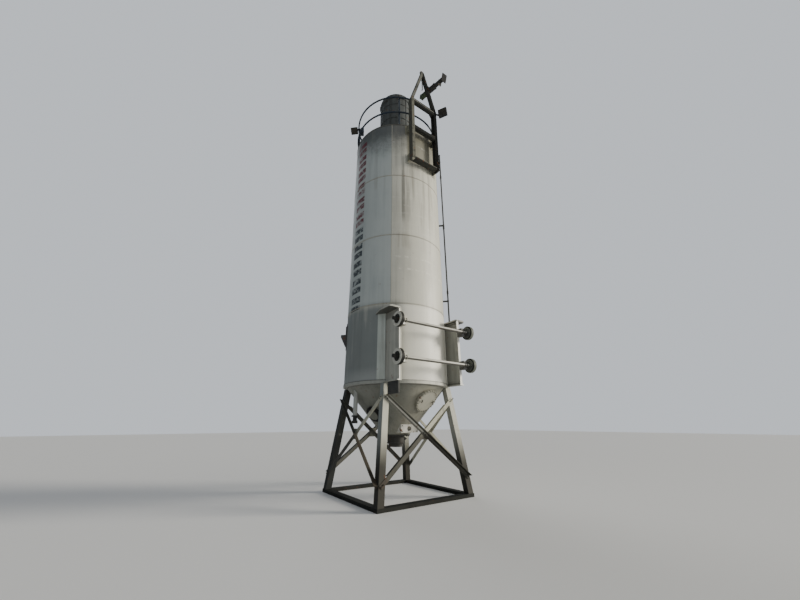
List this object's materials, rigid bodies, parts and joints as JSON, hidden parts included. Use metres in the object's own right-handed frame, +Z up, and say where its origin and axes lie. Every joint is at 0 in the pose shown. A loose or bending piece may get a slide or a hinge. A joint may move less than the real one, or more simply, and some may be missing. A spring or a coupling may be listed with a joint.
{
  "type": "cement silo",
  "caption": "Tall round transportable steel silo with a hopper cone on splayed braced legs, a top dust filter inside a guardrail, and axles and a towing frame on its front.",
  "frame": {"origin": "on the ground, under the middle of the outline seen from above", "axes": "+Z up along the silo's axis, -Y towards the side with the axles and the towing frame, +X to the right when that side is looked at"},
  "size_m": [2.593, 3.3478, 11.835],
  "materials": {
    "cream_paint": "weathered matte",
    "dark_paint": "dusty matte",
    "rail_paint": "satin",
    "rusty_steel": "rusty",
    "cast_iron": "dusty"
  },
  "bodies": {
    "silo": {"shell_course_1": "cream_paint", "shell_course_2": "cream_paint", "shell_course_3": "cream_paint", "shell_course_4": "cream_paint", "base_ring": "cream_paint", "hopper_cone": "cream_paint", "roof": "cream_paint", "leg_front_left": "cream_paint", "leg_front_right": "cream_paint", "leg_back_left": "cream_paint", "leg_back_right": "cream_paint", "base_frame": "cream_paint", "brace_front_rear": "cream_paint", "brace_front_fore": "cream_paint", "brace_right_rear": "cream_paint", "brace_right_fore": "cream_paint", "brace_back_rear": "cream_paint", "brace_back_fore": "cream_paint", "brace_left_rear": "cream_paint", "brace_left_fore": "cream_paint", "manhole_neck": "cream_paint", "manhole_cover": "cream_paint", "clean_out_box": "cream_paint", "wing_right": "cream_paint", "wing_left": "cream_paint", "filter_housing": "dark_paint", "filter_lid": "dark_paint", "fill_pipe": "dark_paint", "conduit": "dark_paint", "guardrail": "rail_paint", "side_lug": "rusty_steel", "tow_rail_left": "rusty_steel", "tow_rail_right": "rusty_steel", "tow_cross_bottom": "rusty_steel", "tow_cross_middle": "rusty_steel", "tow_cross_upper": "rusty_steel", "drawbar": "rusty_steel", "jack_tube": "rusty_steel", "outlet_valve": "cast_iron", "side_port": "cast_iron", "axle_lower": "cast_iron", "axle_upper": "cast_iron", "floodlight_left": "cast_iron", "floodlight_right": "cast_iron"},
    "hub_left_lower": {"hub_left_lower": "cast_iron"},
    "hub_left_upper": {"hub_left_upper": "cast_iron"},
    "hub_right_lower": {"hub_right_lower": "cast_iron"},
    "hub_right_upper": {"hub_right_upper": "cast_iron"},
    "jack_foot": {"jack_foot": "rusty_steel"}
  },
  "joints": [
    {"name": "hub_left_lower_spin", "type": "hinge", "parent": "silo", "child": "hub_left_lower", "pos_m": [-0.96766, -1.14031, 2.655], "axis": [1, 0, 0], "continuous": true},
    {"name": "hub_left_upper_spin", "type": "hinge", "parent": "silo", "child": "hub_left_upper", "pos_m": [-0.96766, -1.14031, 3.415], "axis": [1, 0, 0], "continuous": true},
    {"name": "hub_right_lower_spin", "type": "hinge", "parent": "silo", "child": "hub_right_lower", "pos_m": [1.03234, -1.14031, 2.655], "axis": [1, 0, 0], "continuous": true},
    {"name": "hub_right_upper_spin", "type": "hinge", "parent": "silo", "child": "hub_right_upper", "pos_m": [1.03234, -1.14031, 3.415], "axis": [1, 0, 0], "continuous": true},
    {"name": "landing_leg_slide", "type": "slide", "parent": "silo", "child": "jack_foot", "axis": [0, -0.9538, -0.3004], "range_m": [-0.2, 0.22]}
  ]
}
